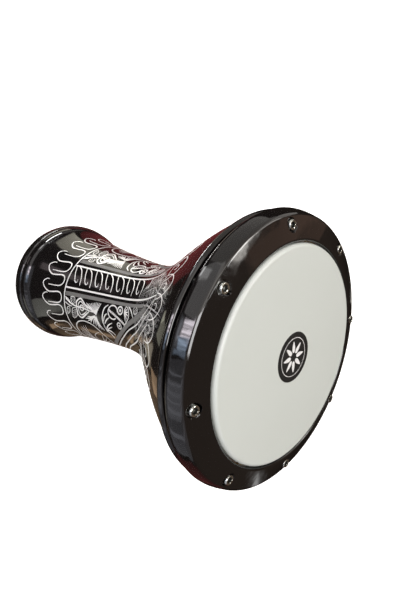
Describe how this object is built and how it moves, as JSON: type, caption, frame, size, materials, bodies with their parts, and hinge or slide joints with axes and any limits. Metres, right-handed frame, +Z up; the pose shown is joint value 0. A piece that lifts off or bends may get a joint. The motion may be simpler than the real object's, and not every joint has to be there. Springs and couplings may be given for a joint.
{
  "type": "goblet drum",
  "caption": "Goblet-shaped hand drum with a cast metal shell, a stretched film head and a screw-down tension ring.",
  "frame": {"origin": "centre of the foot's rim, in the plane that the drum stands on", "axes": "+Z up along the drum's axis towards the head; tension screw 1 lies on +X, and the others follow every 45 degrees towards +Y"},
  "size_m": [0.2824, 0.2824, 0.4441],
  "materials": {
    "black_paint": "high gloss black lacquer over cast aluminium",
    "bare_aluminium": "bare, cut or turned",
    "film": "milky polyester film",
    "decal": "printed vinyl",
    "resin": "cast resin",
    "plated_steel": "bright nickel plate",
    "washer_steel": "zinc plate",
    "brass": "machined"
  },
  "bodies": {
    "shell": {"shell": "black_paint", "head_film": "film", "centre_decal": "decal", "threaded_insert_1": "brass", "threaded_insert_2": "brass", "threaded_insert_3": "brass", "threaded_insert_4": "brass", "threaded_insert_5": "brass", "threaded_insert_6": "brass", "threaded_insert_7": "brass", "threaded_insert_8": "brass"},
    "ring": {"tension_ring": "black_paint", "head_hoop": "bare_aluminium", "hoop_resin": "resin", "screw_washer_1": "washer_steel", "screw_washer_2": "washer_steel", "screw_washer_3": "washer_steel", "screw_washer_4": "washer_steel", "screw_washer_5": "washer_steel", "screw_washer_6": "washer_steel", "screw_washer_7": "washer_steel", "screw_washer_8": "washer_steel"},
    "tension_screw_1": {"tension_screw_1": "plated_steel"},
    "tension_screw_2": {"tension_screw_2": "plated_steel"},
    "tension_screw_3": {"tension_screw_3": "plated_steel"},
    "tension_screw_4": {"tension_screw_4": "plated_steel"},
    "tension_screw_5": {"tension_screw_5": "plated_steel"},
    "tension_screw_6": {"tension_screw_6": "plated_steel"},
    "tension_screw_7": {"tension_screw_7": "plated_steel"},
    "tension_screw_8": {"tension_screw_8": "plated_steel"}
  },
  "joints": [
    {"name": "ring_slide", "type": "slide", "parent": "shell", "child": "ring", "axis": [0, 0, 1], "range_m": [-0.0015, 0.003]},
    {"name": "screw_turn_1", "type": "hinge", "parent": "ring", "child": "tension_screw_1", "pos_m": [0.1271, 0, 0.4337], "axis": [0, 0, 1], "range_deg": [-540, 1080]},
    {"name": "screw_turn_2", "type": "hinge", "parent": "ring", "child": "tension_screw_2", "pos_m": [0.08987, 0.08987, 0.4337], "axis": [0, 0, 1], "range_deg": [-540, 1080]},
    {"name": "screw_turn_3", "type": "hinge", "parent": "ring", "child": "tension_screw_3", "pos_m": [0, 0.1271, 0.4337], "axis": [0, 0, 1], "range_deg": [-540, 1080]},
    {"name": "screw_turn_4", "type": "hinge", "parent": "ring", "child": "tension_screw_4", "pos_m": [-0.08987, 0.08987, 0.4337], "axis": [0, 0, 1], "range_deg": [-540, 1080]},
    {"name": "screw_turn_5", "type": "hinge", "parent": "ring", "child": "tension_screw_5", "pos_m": [-0.1271, 0, 0.4337], "axis": [0, 0, 1], "range_deg": [-540, 1080]},
    {"name": "screw_turn_6", "type": "hinge", "parent": "ring", "child": "tension_screw_6", "pos_m": [-0.08987, -0.08987, 0.4337], "axis": [0, 0, 1], "range_deg": [-540, 1080]},
    {"name": "screw_turn_7", "type": "hinge", "parent": "ring", "child": "tension_screw_7", "pos_m": [0, -0.1271, 0.4337], "axis": [0, 0, 1], "range_deg": [-540, 1080]},
    {"name": "screw_turn_8", "type": "hinge", "parent": "ring", "child": "tension_screw_8", "pos_m": [0.08987, -0.08987, 0.4337], "axis": [0, 0, 1], "range_deg": [-540, 1080]}
  ],
  "couplings": [
    {"joint": "screw_turn_1", "follows": "ring_slide", "rad_per_m": 6283.2},
    {"joint": "screw_turn_2", "follows": "ring_slide", "rad_per_m": 6283.2},
    {"joint": "screw_turn_3", "follows": "ring_slide", "rad_per_m": 6283.2},
    {"joint": "screw_turn_4", "follows": "ring_slide", "rad_per_m": 6283.2},
    {"joint": "screw_turn_5", "follows": "ring_slide", "rad_per_m": 6283.2},
    {"joint": "screw_turn_6", "follows": "ring_slide", "rad_per_m": 6283.2},
    {"joint": "screw_turn_7", "follows": "ring_slide", "rad_per_m": 6283.2},
    {"joint": "screw_turn_8", "follows": "ring_slide", "rad_per_m": 6283.2}
  ]
}
